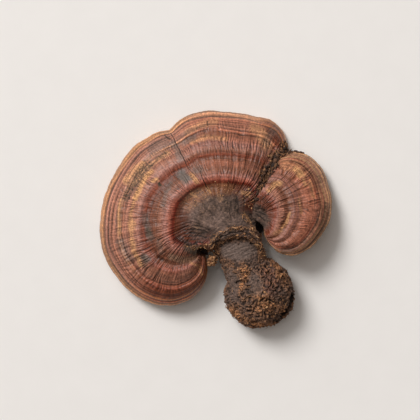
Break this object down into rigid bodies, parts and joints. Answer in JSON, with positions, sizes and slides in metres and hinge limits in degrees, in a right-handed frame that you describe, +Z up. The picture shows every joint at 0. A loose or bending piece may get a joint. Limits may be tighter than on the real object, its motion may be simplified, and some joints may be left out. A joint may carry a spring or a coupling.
{
  "type": "dried reishi mushroom",
  "caption": "Dried bracket mushroom with a ringed kidney-shaped cap, a small fan-shaped side cap and a short crusted stem, lying flat.",
  "frame": {"origin": "on the table, under the middle of the whole object's box", "axes": "+Z up from the table, through the upper skin of the caps; the stem's swollen base lies towards -Y and the side cap towards +X"},
  "size_m": [0.1498, 0.1397, 0.0336],
  "materials": {
    "cap_skin": "satin varnish-like skin with growth rings, dusty in the grooves",
    "side_cap_skin": "satin varnish-like skin with growth rings",
    "stem_crust": "matt, crumbly bark-like crust"
  },
  "bodies": {
    "root": {"main_cap": "cap_skin", "side_cap": "side_cap_skin", "stem": "stem_crust"}
  },
  "joints": []
}
